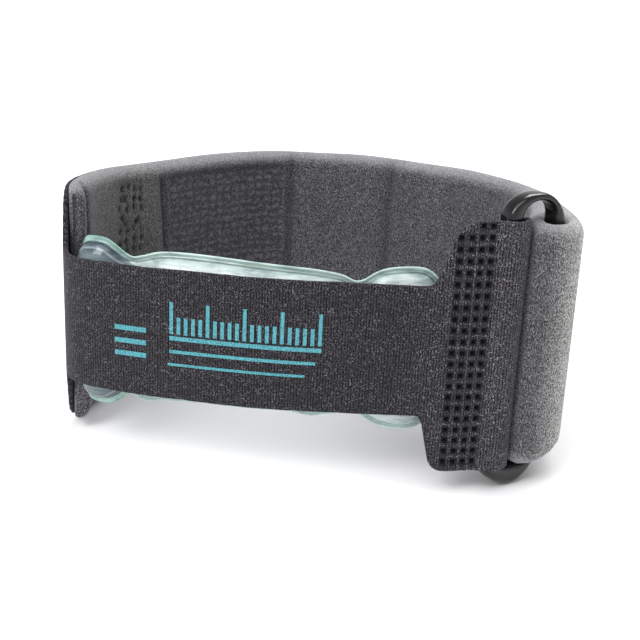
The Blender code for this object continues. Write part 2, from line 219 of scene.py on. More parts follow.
# How deep the strap's inner face is pressed in
PUCKER_DEPTH = 0.0014
WELD_SINK = 0.0004
PATCH_SINK = 0.0006
PATCH_EDGE_DEPTH = 0.0006
END_FOLD_DEPTH = 0.0018
STEP_DEPTH = 0.0013
CREASE_DEPTH = 0.0013

SEED = 7
RIB_PITCH = 0.00084  # of the knit
HOOK_PITCH_ALONG = 0.0011
HOOK_PITCH_DOWN = 0.0009
DASH_PITCH_ALONG = 0.0034  # of the loops that stand up over the hook patch
DASH_PITCH_DOWN = 0.0027
STEP_SLANT = 0.07  # of the line where the band's back end shows through the strap
STEP_LEVEL = 0.020
KNIT_COLOUR = (0.0082, 0.0075, 0.0092)
FLECK_COLOUR = (0.150, 0.146, 0.160)


# The loop cloth's colours. Columns: level of the fibre pattern, colour
INSIDE_CLOTH = (
    (0.36, (0.014, 0.013, 0.016)),
    (0.52, (0.064, 0.061, 0.070)),
    (0.68, (0.230, 0.225, 0.243)),
)
WELDED_CLOTH = (
    (0.34, (0.028, 0.028, 0.027)),
    (0.52, (0.090, 0.090, 0.087)),
    (0.70, (0.235, 0.234, 0.228)),
)
TAIL_CLOTH = (
    (0.39, (0.032, 0.031, 0.030)),
    (0.50, (0.275, 0.271, 0.255)),
    (0.62, (0.760, 0.750, 0.712)),
)


# Lines in the plan


def smooth_line(points, steps=STEPS):
    p = np.array(points, float)
    q = np.vstack([2 * p[0] - p[1], p, 2 * p[-1] - p[-2]])
    t = np.linspace(0, 1, steps, endpoint=False)[:, None]
    runs = []
    for a, b, c, d in zip(q[:-3], q[1:-2], q[2:-1], q[3:]):
        bend = (2 * a - 5 * b + 4 * c - d) * t**2 + (3 * b - a - 3 * c + d) * t**3
        runs.append(0.5 * (2 * b + (c - a) * t + bend))
    return np.vstack(runs + [p[-1:]])


def bridge(before, after):
    a, b = before[-1], after[0]
    span = np.linalg.norm(b - a)
    leave = (a - before[-2]) / np.linalg.norm(a - before[-2]) * span
    arrive = (after[1] - b) / np.linalg.norm(after[1] - b) * span
    t = np.linspace(0, 1, STEPS + 1)[1:-1, None]
    value = (2 * t**3 - 3 * t**2 + 1) * a + (3 * t**2 - 2 * t**3) * b
    return value + (t**3 - 2 * t**2 + t) * leave + (t**3 - t**2) * arrive


def lengths_along(line):
    return np.insert(np.cumsum(np.linalg.norm(np.diff(line, axis=0), axis=1)), 0, 0.0)


def point_at(line, distances):
    along = lengths_along(line)
    return np.stack([np.interp(distances, along, line[:, axis]) for axis in (0, 1)], axis=-1)


def cut_line(line, start, end):
    along = lengths_along(line)
    inside = (along > start + 0.0002) & (along < end - 0.0002)
    return np.vstack([point_at(line, [start]), line[inside], point_at(line, [end])])


def side_of(line):
    """Unit vectors to the outer side at each point of the line."""
    way = np.gradient(line, axis=0)
    way /= np.linalg.norm(way, axis=1)[:, None]
    return np.stack([-way[:, 1], way[:, 0]], axis=-1)


def beside(line, distance):
    return line + np.asarray(distance).reshape(-1, 1) * side_of(line)


def arc_round(centre, radius, first, last, slack, way):
    """An arc that stands out by the slack at its middle, in the given direction."""
    angle = np.linspace(first, last, 4 * STEPS)
    loose = slack * np.sin(np.linspace(0, math.pi, 4 * STEPS)) ** 2
    round_arc = np.array(centre) + radius * np.stack([np.cos(angle), np.sin(angle)], axis=-1)
    return round_arc + loose[:, None] * way


def eased(line, reach=0.0012, step=0.0003):
    """The line at even steps, with its small kinks smoothed out and its ends kept."""
    total = lengths_along(line)[-1]
    even = point_at(line, np.linspace(0, total, int(total / step) + 1))
    width = int(3 * reach / step)
    weights = np.exp(-0.5 * (np.arange(-width, width + 1) * step / reach) ** 2)
    weights /= weights.sum()
    before = 2 * even[0] - even[width:0:-1]
    after = 2 * even[-1] - even[-2 : -width - 2 : -1]
    padded = np.vstack([before, even, after])
    return np.stack([np.convolve(padded[:, k], weights, "valid") for k in (0, 1)], axis=-1)


def corner_drop(distance, radius):
    inside = np.clip(radius - np.asarray(distance), 0, radius)
    return radius - np.sqrt(radius**2 - inside**2)


PLAN_SIZE = np.array([LOOP_WIDTH, LOOP_DEPTH])
BAR_RADIUS = RING_EDGE + math.hypot(RING_BAR / 2 - RING_EDGE, RING_DEPTH / 2 - RING_EDGE)
BAR_SPACING = 2 * (BAR_RADIUS + CLEARANCE) + BAND_THICKNESS + STRAP_THICKNESS + SLOT_PLAY
RING_MIDDLE = np.array(RING_PLACE) * PLAN_SIZE
RING_WAY = np.array([math.cos(RING_TURN), math.sin(RING_TURN)])
LEFT_BAR = RING_MIDDLE - RING_WAY * BAR_SPACING / 2
RIGHT_BAR = RING_MIDDLE + RING_WAY * BAR_SPACING / 2
BAR_TO_LINE = BAR_RADIUS + CLEARANCE / 2
BAND_TO_LINE = (CLEARANCE + BAND_THICKNESS) / 2
STRAP_TO_LINE = (CLEARANCE + STRAP_THICKNESS) / 2
PATCH_TO_LINE = (CLEARANCE + PATCH_THICKNESS) / 2
TAIL_TO_LINE = CLEARANCE * 1.5 + PATCH_THICKNESS + STRAP_THICKNESS / 2


def plan_line():
    front_side = np.array([math.sin(FRONT_SLOPE), -math.cos(FRONT_SLOPE)])
    first = LEFT_BAR + BAR_TO_LINE * front_side
    last = RIGHT_BAR - np.array([BAR_TO_LINE, 0.0])
    return smooth_line(np.vstack([first, np.array(PLAN_LINE) * PLAN_SIZE, last]))


LINE = plan_line()
LINE_LENGTH = lengths_along(LINE)[-1]
FOLD_POINT = np.array(PLAN_LINE[LEFT_FOLD_ROW]) * PLAN_SIZE
FOLD = lengths_along(LINE)[np.argmin(np.linalg.norm(LINE - FOLD_POINT, axis=1))]
PATCH_START = FOLD + BAND_BACK_LENGTH + PATCH_GAP
PATCH_END = PATCH_START + PATCH_LENGTH


def nearest_length(line, point):
    return lengths_along(line)[np.argmin(np.linalg.norm(line - point, axis=1))]


def band_line():
    """The band's middle line and the length along it to the ring's left bar."""
    outer = beside(cut_line(LINE, 0, FOLD + BAND_BACK_LENGTH), BAND_TO_LINE)
    inner = beside(cut_line(LINE, FOLD_BACK_CLOSING, FOLD_BACK_LENGTH), -BAND_TO_LINE)[::-1]
    front = FRONT_SLOPE - math.pi / 2
    radius = BAR_TO_LINE + BAND_TO_LINE
    wrap = arc_round(LEFT_BAR, radius, math.radians(150.0), front, BAND_LOOP_SLACK, RING_WAY)
    line = eased(np.vstack([inner, bridge(inner, wrap), wrap[:-1], outer]), reach=0.0007)
    return line, nearest_length(line, outer[0])


def strap_line():
    """The padded strap's middle line and the length along it to the ring's right bar."""
    layer = beside(cut_line(LINE, FOLD - STRAP_BEFORE_FOLD, LINE_LENGTH), -STRAP_TO_LINE)
    radius = BAR_TO_LINE + STRAP_TO_LINE
    wrap = arc_round(RIGHT_BAR, radius, math.pi, 2 * math.pi, STRAP_LOOP_SLACK, np.array(STRAP_LOOP_WAY))
    lying = cut_line(LINE, PATCH_END - TAIL_LAP, LINE_LENGTH - TAIL_CLOSING)
    tail = beside(lying, TAIL_TO_LINE)[::-1]
    line = eased(np.vstack([layer, wrap[1:], bridge(wrap, tail), tail]))
    return line, nearest_length(line, wrap[len(wrap) // 2])


def cell_line():
    stretch = cut_line(LINE, FOLD_BACK_LENGTH - CELL_LAP, FOLD - CELL_BEFORE_FOLD)[::-1]
    along = lengths_along(stretch)
    behind = CLEARANCE + CELL_THICKNESS / 2
    setback = np.interp(along / along[-1], (0, 0.16), (behind * CELL_LEFT_SETBACK, behind))
    return eased(beside(stretch[::-1], -setback[::-1])[::-1])


# Meshes


def standing_frame():
    """The matrix from the strap frame to the row frame, read off the ring, whose three axes are known."""
    corners = np.array([vertex.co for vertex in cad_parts["ring"].data.vertices])
    middle = (corners.max(axis=0) + corners.min(axis=0)) / 2
    spread = corners - corners.mean(axis=0)
    axes = np.linalg.eigh(spread.T @ spread)[1]
    up = axes[:, 2] * np.sign(axes[2, 2])
    width = axes[:, 1] * np.sign(axes[0, 1])
    depth = np.cross(up, width)
    right = RING_WAY[0] * width - RING_WAY[1] * depth
    back = RING_WAY[1] * width + RING_WAY[0] * depth
    turn = np.stack([right, back, up], axis=1)
    place = np.eye(4)
    place[:3, :3] = turn
    place[:3, 3] = middle - turn @ np.array([*RING_MIDDLE, 0.0])
    return Matrix(place)


STAND = standing_frame()


def new_object(name, vertices, faces, uvs=None, dents=None, smooth=True):
    """A mesh object from points in the strap frame, put where the part stands.

    dents says how deep each point is pressed in, from 0 to 1; the materials darken those places as painted
    shade, in the band's pits also as the pressed knit's own black.
    """
    turned = np.asarray(vertices) @ np.array(STAND)[:3, :3].T + np.array(STAND)[:3, 3]
    mesh = bpy.data.meshes.new(name)
    mesh.from_pydata(turned.tolist(), [], [tuple(face) for face in faces])
    if uvs is not None:
        layer = mesh.uv_layers.new(name="places")
        corners = np.empty(len(mesh.loops), np.int32)
        mesh.loops.foreach_get("vertex_index", corners)
        layer.data.foreach_set("uv", np.asarray(uvs, np.float32)[corners].ravel())
    if dents is not None:
        layer = mesh.attributes.new(name="dent", type="FLOAT", domain="POINT")
        layer.data.foreach_set("value", np.asarray(dents, np.float32).ravel())
    form = bmesh.new()
    form.from_mesh(mesh)
    bmesh.ops.recalc_face_normals(form, faces=form.faces)
    form.to_mesh(mesh)
    form.free()
    if smooth:
        mesh.shade_smooth()
    made = bpy.data.objects.new(name, mesh)
    bpy.context.scene.collection.objects.link(made)
    return made


def grid_faces(columns, rows, first=0):
    index = first + np.arange(columns * rows).reshape(columns, rows)
    quads = np.stack([index[:-1, :-1], index[1:, :-1], index[1:, 1:], index[:-1, 1:]], axis=-1)
    return quads.reshape(-1, 4)


def closed_sheet(name, outer, inner, uvs, outer_dents=None, inner_dents=None):
    """A solid between two grids of points, joined round their borders."""
    columns, rows = outer.shape[:2]
    count = columns * rows
    index = np.arange(count).reshape(columns, rows)
    border = np.concatenate([index[:, 0], index[-1, 1:], index[-2::-1, -1], index[0, -2:0:-1]])
    after = np.roll(border, -1)
    rim = np.stack([border, after, after + count, border + count], axis=-1)
    faces = np.vstack([grid_faces(columns, rows), grid_faces(columns, rows, count)[:, ::-1], rim])
    points = np.concatenate([outer.reshape(-1, 3), inner.reshape(-1, 3)])
    flat = uvs.reshape(-1, 2)
    level = np.zeros((columns, rows))
    dents = np.stack([level if side is None else side for side in (outer_dents, inner_dents)])
    return new_object(name, points, faces.tolist(), np.concatenate([flat, flat]), dents)


def on_line(line, along, heights, offset):
    """Points beside the line: along is one length per column, heights and offset are column by row grids."""
    sides = side_of(line)
    total = lengths_along(line)
    points = point_at(line, along)
    side = np.stack([np.interp(along, total, sides[:, k]) for k in (0, 1)], axis=-1)
    side /= np.linalg.norm(side, axis=1)[:, None]
    flat = points[:, None, :] + side[:, None, :] * offset[:, :, None]
    return np.concatenate([flat, heights[:, :, None]], axis=-1)


def merged(places, extra, closest=0.0002):
    """The sorted places with the extra ones put in, and none of the first kind close to those."""
    extra = np.unique(np.round(np.concatenate([np.atleast_1d(e) for e in extra]), 7))
    keep = [p for p in places if np.abs(extra - p).min() > closest]
    return np.sort(np.concatenate([keep, extra]))


def wavering(along, reach, size, seed):
    """A smooth random drift, the same at the same place along a length."""
    rng = np.random.default_rng(seed)
    knots = np.arange(-reach, along.max() + 2 * reach, reach)
    values = rng.normal(0, size, len(knots))
    t = (along - knots[0]) / reach
    k = t.astype(int)
    f = t - k
    f = f * f * (3 - 2 * f)
    return values[k] * (1 - f) + values[k + 1] * f


def clipped_rows(rows, low, high, drop, squeeze=0.000015):
    """Rows at fixed heights less the drop, each kept inside the two edges and in order."""
    count = np.arange(len(rows))
    ceiling = high[:, None] - squeeze * (len(rows) - 1 - count)[None, :]
    floor = low[:, None] + squeeze * count[None, :]
    heights = np.clip(rows[None, :] - drop[:, None], floor, ceiling)
    heights[:, 0] = low
    heights[:, -1] = high
    return heights


def rounded(distance, reach):
    """The share of the thickness at a distance from an edge that is rounded over that reach."""
    share = np.clip(distance / reach, 0, 1)
    return np.sqrt(np.clip(1 - (1 - share) ** 2, 0, 1))


def flared(distance, length):
    curve = smooth_line(FLARE, 12)
    return np.interp(np.asarray(distance) / length, curve[:, 0], curve[:, 1])


def pit_columns(bar, total):
    """Lengths along the band where the columns of pits lie: folded end, ring join, left join."""
    steps = np.arange(PIT_COLUMNS) * PIT_PITCH_ALONG
    left_join = total - WELD_FROM_END - WELD_LENGTH / 2 + steps - steps.mean()
    return np.concatenate([FOLDED_PIT_FIRST + steps, bar + PIT_FIRST + steps, left_join])


def pit_rows():
    """Heights of the rows of pits, with the short one above the others first."""
    return PIT_TOP - np.arange(-1, PIT_ROWS) * PIT_PITCH_DOWN


def left_drop(along, bar):
    """How far the band's left end lies below its right end."""
    past_left = along - (bar + FOLD - LEFT_FLARE_BEFORE_FOLD)
    return BAND_LEFT_DROP * flared(past_left, FLARE_LENGTH)


def band_edges(along, total, bar):
    from_bar = np.abs(along - bar)
    past_left = along - (bar + FOLD - LEFT_FLARE_BEFORE_FOLD)
    end = np.minimum(along, total - along)
    edges = []
    for side, length in ((-1, FLARE_LENGTH_BELOW), (1, FLARE_LENGTH)):
        rise = np.maximum(flared(FLARE_REACH - from_bar, length), flared(past_left, FLARE_LENGTH))
        rise[along < bar] = flared(FLARE_REACH - from_bar[along < bar], length)
        narrow = side * BAND_NARROW / 2 - BAND_NARROW_DROP
        height = narrow + rise * (side * BAND_WIDE / 2 - narrow) - left_drop(along, bar)
        waver = wavering(along, 0.011, 0.00012, SEED + side)
        waver = waver + wavering(along, 0.0021, 0.00005, SEED + 3 + side)
        edges.append(height + waver - side * corner_drop(end, BAND_CORNER) * (rise > 0.99))
    return edges


def band_slack(along, heights):
    """How far the band bows out of its line where the cloth is slack."""
    drift = 0.0001 * wavering(along, 0.017, 1.0, SEED + 11)
    return drift[:, None] * np.sin(np.pi * (heights / BAND_WIDE + 0.5))


def pressed_pits(along, level, low, high, bar, columns):
    """Grids over the band: how deep its face is pressed in by the pits, and which points lie in one."""
    far_along = np.repeat(along[:, None], level.shape[1], axis=1)
    depth = np.zeros_like(level)
    pit = np.zeros_like(level)
    clear = 2 * PIT_HALF
    for place in columns:
        column = np.argmin(np.abs(along - place))
        with_short_row = bar - PIT_HALF < place < bar + PIT_FIRST + 1.5 * PIT_PITCH_ALONG
        for row, centre in enumerate(pit_rows()):
            room = min(high[column] - centre, centre - low[column])
            if (row == 0 and not with_short_row) or (row > 0 and room < clear):
                continue
            far = np.maximum(np.abs(far_along - place), np.abs(level - centre))
            depth = np.where(far < PIT_HALF * 1.05, 0.00012, depth)
            depth = np.where(far < PIT_FLOOR_HALF * 1.05, PIT_DEPTH, depth)
            pit = np.where(far < PIT_HALF * 1.05, 1.0, pit)
    return depth, pit


def front_band():
    line, bar = band_line()
    total = lengths_along(line)[-1]
    columns = pit_columns(bar, total)
    near = np.array([-PIT_HALF, -PIT_FLOOR_HALF, PIT_FLOOR_HALF, PIT_HALF, PIT_PITCH_ALONG / 2])
    pits_along = (columns[:, None] + near[None, :]).ravel()
    ends = np.array([0.0, 0.0001, 0.0003, 0.0007, 0.0012])
    wrap = bar - np.arange(1, 16) * 0.0008
    along = merged(np.arange(0.0, total, 0.0013), [pits_along, ends, total - ends, wrap], 0.0004)
    near = np.array([-PIT_HALF, -PIT_FLOOR_HALF, PIT_FLOOR_HALF, PIT_HALF, PIT_PITCH_DOWN / 2])
    half = BAND_WIDE / 2
    borders = half - np.array([0.0, 0.00012, 0.0003, 0.0006])
    inside = (pit_rows()[:, None] + near[None, :]).ravel()
    inside = inside[np.abs(inside) < half - 0.0007]
    rows = np.sort(np.concatenate([inside, borders, -borders]))
    drop = left_drop(along, bar)
    low, high = band_edges(along, total, bar)
    heights = clipped_rows(rows, low, high, drop)
    edge = np.minimum(heights - low[:, None], high[:, None] - heights)
    edge = np.minimum(edge, np.minimum(along, total - along)[:, None])
    half_thick = BAND_THICKNESS / 2 * rounded(edge, 0.0007)
    grid_along = np.repeat(along[:, None], len(rows), axis=1)
    level = heights + drop[:, None]
    depth, pit = pressed_pits(along, level, low + drop, high + drop, bar, columns)
    swelling = np.zeros_like(heights)
    for first in columns.reshape(3, PIT_COLUMNS)[:, 0]:
        middle = first + 1.5 * PIT_PITCH_ALONG
        zone = np.clip(1 - (np.abs(grid_along - middle) / (2.1 * PIT_PITCH_ALONG)) ** 6, 0, 1)
        swell = np.sin(np.pi * (grid_along - first) / PIT_PITCH_ALONG) ** 2
        swell = swell + np.sin(np.pi * (level - PIT_TOP) / PIT_PITCH_DOWN) ** 2
        swelling += 0.00014 * zone * (swell - 1.2) * (pit == 0)
    relief = np.clip(swelling - depth, -half_thick * 1.4, 0.0006)
    slack = band_slack(along, heights)
    outer = on_line(line, along, heights, half_thick + relief + slack)
    inner = on_line(line, along, heights, slack - half_thick)
    uvs = np.stack([grid_along - bar, heights], axis=-1)
    # The pits' mask goes in as the band's dents, which its material darkens: partly the pressed knit's own
    # black, partly painted shade.
    band = closed_sheet("knit_band", outer, inner, uvs, pit)
    width = high - low
    area = float(np.sum((width[1:] + width[:-1]) / 2 * np.diff(along)))
    return band, total, area


def band_surface(distances, heights, rise):
    """Points on the front band's outer face at lengths from the ring's left bar."""
    line, bar = band_line()
    along = bar + distances
    return on_line(line, along, heights, BAND_THICKNESS / 2 + rise + band_slack(along, heights))


def print_piece():
    """The printed scale, as thin plates that follow the band's face."""
    plates = [(start, end, low, low + height) for start, end, low, height in PRINT_BARS]
    base = PRINT_BARS[0][2] + PRINT_BARS[0][3] + PRINT_GAP
    for tick in range(TICK_COUNT):
        height = TICK_LONG if tick % 5 == 0 else TICK_SHORT
        scale_start, scale_end = PRINT_BARS[0][:2]
        start = scale_start + tick * (scale_end - scale_start - TICK_WIDTH) / (TICK_COUNT - 1)
        plates.append((start, start + TICK_WIDTH, base, base + height))
    points, faces, uvs = [], [], []
    for start, end, low, high in plates:
        along = np.linspace(start, end, max(2, int((end - start) / 0.001) + 1))
        rows = np.array([low, high])
        heights = np.repeat(rows[None, :], len(along), axis=0)
        top = band_surface(along, heights, PRINT_RISE)
        under = band_surface(along, heights, -PRINT_RISE)
        first = len(points)
        count = len(along) * 2
        points += [*top.reshape(-1, 3), *under.reshape(-1, 3)]
        uvs += [(a, z) for _ in (0, 1) for a in along for z in rows]
        index = np.arange(count).reshape(len(along), 2)
        border = np.concatenate([index[:, 0], index[::-1, 1]])
        after = np.roll(border, -1)
        rim = np.stack([border, after, after + count, border + count], axis=-1) + first
        faces += grid_faces(len(along), 2, first).tolist()
        faces += grid_faces(len(along), 2, first + count)[:, ::-1].tolist()
        faces += rim.tolist()
    return new_object("band_print", np.array(points), faces, np.array(uvs), smooth=False)


def bump_field(along, heights, places, rows, reach, seed, wander):
    """Soft round dents of depth 1 at a grid of places, each a little out of line."""
    rng = np.random.default_rng(seed)
    field = np.zeros_like(heights)
    for place in places:
        for row in rows:
            shift = rng.normal(0, wander, 2)
            depth = rng.uniform(0.65, 1.1)
            column = np.abs(along - place) < 4 * reach[0]
            a = (along[column] - place - shift[0]) / reach[0]
            z = (heights[column] - row - shift[1]) / reach[1]
            field[column] = np.maximum(field[column], depth * np.exp(-0.5 * (a[:, None] ** 2 + z**2)))
    return field


def back_strap():
    line, bar = strap_line()
    total = lengths_along(line)[-1]
    weld = STRAP_BEFORE_FOLD + BAND_BACK_LENGTH - WELD_FROM_END - WELD_LENGTH / 2
    patch_start, patch_end = (place - FOLD + STRAP_BEFORE_FOLD for place in (PATCH_START, PATCH_END))
    second = patch_end + CREASE_PAST_PATCH
    ends = np.array([0.0, 0.0001, 0.0003, 0.0006, 0.0010, 0.0015, 0.0020, 0.0026])
    corners = TAIL_CORNER * (1 - np.cos(np.linspace(0.25, np.pi / 2, 12)))
    fold_line = STRAP_BEFORE_FOLD + np.arange(-0.0014, 0.0085, 0.0006)
    fine = np.arange(weld - 0.009, weld + 0.009, 0.0004)
    pressed = np.arange(patch_start - 0.003, patch_end + 0.006, 0.0010)
    crease = second + np.arange(-0.006, 0.0061, 0.0009)
    extra = [fold_line, fine, pressed, crease, ends, total - ends, total - corners]
    along = merged(np.arange(0.0, total, 0.0034), extra, 0.0004)
    edge_rows = np.array([0.0, 0.0001, 0.0003, 0.0007, 0.0012, 0.0018, 0.0025, 0.0033, 0.0042, 0.0052])
    half_share = STRAP_WIDTH / 2
    middle = np.arange(-half_share + 0.0058, half_share - 0.0057, 0.00048)
    rows = np.concatenate([-half_share + edge_rows, middle, half_share - edge_rows[::-1]])
    widths = (STRAP_WIDTH, STRAP_WIDTH, STRAP_WIDTH_IN_RING, TAIL_END_WIDTH)
    half_width = np.interp(along, (0, bar - TAIL_CLOSING, bar, total), widths) / 2
    cut = corner_drop(along, STRAP_CORNER) + corner_drop(total - along, TAIL_CORNER)
    high = half_width - cut + wavering(along, 0.019, 0.00025, SEED + 21)
    low = -half_width + cut + wavering(along, 0.019, 0.00025, SEED + 22)
    low -= STRAP_LEFT_SAG * np.exp(-(((along - 0.012) / 0.020) ** 2))
    low += np.interp(along - bar, *TAIL_LIFT)
    centre = (high + low) / 2
    heights = centre[:, None] + rows[None, :] / half_share * ((high - low) / 2)[:, None]
    rim = np.minimum(heights - low[:, None], high[:, None] - heights)
    end = np.minimum(along, total - along)[:, None] * np.ones_like(rim)
    back = np.minimum(rounded(rim, STRAP_BACK_ROUNDING), rounded(end, STRAP_BACK_ROUNDING))
    reach = np.interp(along, (0.0, 0.025, 0.09), RIM_REACHES)[:, None]
    front = np.minimum(rounded(rim, reach), rounded(end, STRAP_END_ROUNDING))
    outer_offset = STRAP_THICKNESS / 2 - STRAP_BACK_ROUNDING * (1 - back)
    full = STRAP_THICKNESS - STRAP_BACK_ROUNDING
    inner_offset = STRAP_THICKNESS / 2 - STRAP_BACK_ROUNDING - full * front
    grid_along = np.repeat(along[:, None], len(rows), axis=1)

    weld_places = weld + (np.arange(PIT_COLUMNS) - 1.5) * PIT_PITCH_ALONG
    weld_rows = PIT_TOP - np.arange(1, PIT_ROWS - 1) * PIT_PITCH_DOWN
    puckers = bump_field(along, heights, weld_places, weld_rows, (0.00042, 0.00085), SEED + 31, 0.00060)
    zone = np.clip(1 - (np.abs(grid_along - weld) / 0.0085) ** 4, 0, 1)
    zone = zone * np.clip((PIT_TOP + 0.0005 - np.abs(heights)) / 0.002, 0, 1)

    slanted = grid_along + STEP_SLANT * (heights - STEP_LEVEL)
    within = np.clip((slanted - patch_start) / 0.003, 0, 1) * np.clip((patch_end - grid_along) / 0.003, 0, 1)
    patch = within * np.clip((PATCH_HEIGHT / 2 - np.abs(heights)) / 0.0012, 0, 1)

    def line_at(place, width):
        return np.exp(-0.5 * ((grid_along - place) / width) ** 2)

    end_fold = line_at(STRAP_BEFORE_FOLD + 0.0036 - 0.05 * heights, 0.0010)
    step = line_at(patch_start - 0.0004 - STEP_SLANT * (heights - STEP_LEVEL), 0.0007)
    step *= np.clip((0.034 - np.abs(heights)) / 0.002, 0, 1)
    patch_edge = within * np.exp(-0.5 * ((np.abs(heights) - PATCH_HEIGHT / 2) / 0.0005) ** 2)
    creases = line_at(patch_end + 0.001, 0.0013) + 0.8 * line_at(second, 0.0016)
    relief = PUCKER_DEPTH * puckers * zone + WELD_SINK * zone + PATCH_SINK * patch
    folds = END_FOLD_DEPTH * end_fold + STEP_DEPTH * step + PATCH_EDGE_DEPTH * patch_edge
    relief += folds + CREASE_DEPTH * creases
    rolling = 0.00018 * np.sin(grid_along / 0.017 + 2 * np.sin(heights / 0.021))
    relief += rolling * (grid_along < bar - 0.02)
    relief *= np.clip(rim / 0.005, 0, 1) ** 0.5
    relief = np.clip(relief, -0.0006, STRAP_THICKNESS * 0.5)
    # Painted shade: how far the inner face is darkened in the weld puckers, the end fold, the step, the patch
    # edge and the creases, and over the hook patch.
    dents = puckers * zone + 0.52 * patch + end_fold + 0.75 * step
    dents = dents + 0.5 * patch_edge + 0.55 * creases
    dents = np.clip(dents * np.clip(rim / 0.005, 0, 1), 0, 1)
    slack = 0.0002 * wavering(along, 0.023, 1.0, SEED + 41)[:, None] * (grid_along > bar + 0.02)
    inner = on_line(line, along, heights, inner_offset + relief + slack)
    outer = on_line(line, along, heights, outer_offset + slack)
    uvs = np.stack([grid_along - STRAP_BEFORE_FOLD, heights], axis=-1)
    return closed_sheet("padded_strap", outer, inner, uvs, inner_dents=dents)


def outline_distance(along, low, high, at, z):
    """How far points lie inside a closed outline given by its edges over a length."""
    outline = np.concatenate([np.stack([along, high], -1), np.stack([along, low], -1)[::-1]])
    outline = np.vstack([outline, outline[:1]])
    a, b = outline[:-1], outline[1:]
    step = b - a
    size = np.maximum((step**2).sum(axis=1), 1e-14)
    points = np.stack([at.ravel(), z.ravel()], axis=-1)
    best = np.full(len(points), 1.0)
    for start, way, squared in zip(a, step, size):
        t = np.clip(((points - start) @ way) / squared, 0, 1)
        best = np.minimum(best, np.linalg.norm(points - start - t[:, None] * way, axis=1))
    return best.reshape(at.shape)


def air_cell():
    line = cell_line()
    total = lengths_along(line)[-1]
    lobes = smooth_line(CELL_LOBES, 12)
    shares, above, below, fills = lobes.T
    rise = np.array([0.0, 0.00012, 0.0003, 0.0006, 0.001, 0.0014, 0.0018, 0.0022, 0.0026, 0.003, 0.0036])
    along = merged(np.arange(0.0, total, 0.0011), [rise, total - rise], 0.0003)
    high = np.interp(along / total, shares, above) * CELL_HEIGHT / 2 - CELL_DROP
    low = -np.interp(along / total, shares, below) * CELL_HEIGHT / 2 - CELL_DROP
    half = (high - low) / 2
    rise = np.concatenate([rise, np.arange(0.0043, 0.0120, 0.0008)])
    from_edge = rise[None, :] * np.minimum(1.0, half / 0.0145)[:, None]
    lower = low[:, None] + from_edge
    upper = high[:, None] - from_edge[:, ::-1]
    between = lower[:, -1:] + np.linspace(0, 1, 26)[None, 1:-1] * (upper[:, :1] - lower[:, -1:])
    heights = np.concatenate([lower, between, upper], axis=1)
    grid_along = np.repeat(along[:, None], heights.shape[1], axis=1)
    inside = outline_distance(along, low, high, grid_along, heights)
    full = np.interp(along / total, shares, fills)[:, None] * CELL_THICKNESS / 2
    body = np.clip((inside - CELL_RIM) / 0.0115, 0, 1)
    pillow = full * np.sqrt(np.clip(1 - (1 - body) ** 2.2, 0, 1))
    weld_line = 0.00012 * np.exp(-0.5 * ((inside - CELL_RIM * 0.75) / 0.00025) ** 2)
    rim = (CELL_RIM_THICKNESS / 2 - weld_line) * rounded(inside, 0.0003)
    puckered = np.clip(1 - body, 0, 1) * np.clip((inside - CELL_RIM) / 0.002, 0, 1)
    wrinkle = 0.00025 * np.sin(grid_along / 0.0021 + 9 * np.sin(heights / 0.013)) * puckered
    bow = 0.0004 * np.sin(grid_along / 0.006 + 1.3) * np.clip(1 - inside / 0.006, 0, 1)
    outer = on_line(line, along, heights, rim + pillow + wrinkle + bow)
    inner = on_line(line, along, heights, wrinkle + bow - rim - pillow)
    return closed_sheet("air_cell_film", outer, inner, np.stack([inside, grid_along], axis=-1))


def oval(turn, half_width, half_height, power):
    """A point on a squarish oval."""
    across, up = math.cos(turn), math.sin(turn)
    return np.array([
        math.copysign(half_width * abs(across) ** (2 / power), across),
        math.copysign(half_height * abs(up) ** (2 / power), up),
    ])


def ring():
    """A sweep of one round-cornered section between the ring's domed outline and its window."""
    half_outer = (BAR_SPACING + RING_BAR) / 2
    half_window = (BAR_SPACING - RING_BAR) / 2
    straight = BAND_WIDE / 2
    dome = RING_PLAY + RING_END_BAR
    sections = []
    sooner = {end: row[-1] for end, *row in RING_ENDS}
    for end, window_dome, power, right_sooner in RING_ENDS:
        first = 0.0 if end == 1 else math.pi
        for turn in np.linspace(first, first + math.pi, 61):
            early = right_sooner if math.cos(turn) > 0 else 0.0
            out = oval(turn, half_outer, dome + early, power) + np.array([0.0, end * (straight - early)])
            into = oval(turn, half_window, window_dome, WINDOW_SQUARENESS) + np.array([0.0, end * straight])
            sections.append((out, into))
        start, stop = (straight, -straight) if end == 1 else (sooner[-1] - straight, straight - sooner[1])
        for share in np.linspace(0, 1, 32)[1:-1]:
            out = np.array([-end * half_outer, start + share * (stop - start)])
            sections.append((out, np.array([-end * half_window, end * straight * (1 - 2 * share)])))
    around = np.linspace(0, 2 * math.pi, 32, endpoint=False)
    power = 0.62
    wide = np.sign(np.cos(around)) * np.abs(np.cos(around)) ** power
    deep = np.sign(np.sin(around)) * np.abs(np.sin(around)) ** power
    deep_way = np.array([-RING_WAY[1], RING_WAY[0]]) * RING_DEPTH / 2
    points = []
    for out, into in sections:
        middle, half = (out + into) / 2, (out - into) / 2
        for w, d in zip(wide, deep):
            across, up = middle + half * w
            points.append((*(RING_MIDDLE + RING_WAY * across + deep_way * d), up))
    count, size = len(sections), len(around)
    faces = []
    for i in range(count):
        for j in range(size):
            k, m = (i + 1) % count, (j + 1) % size
            faces.append((i * size + j, k * size + j, k * size + m, i * size + m))
    return new_object("slotted_ring", np.array(points), faces)


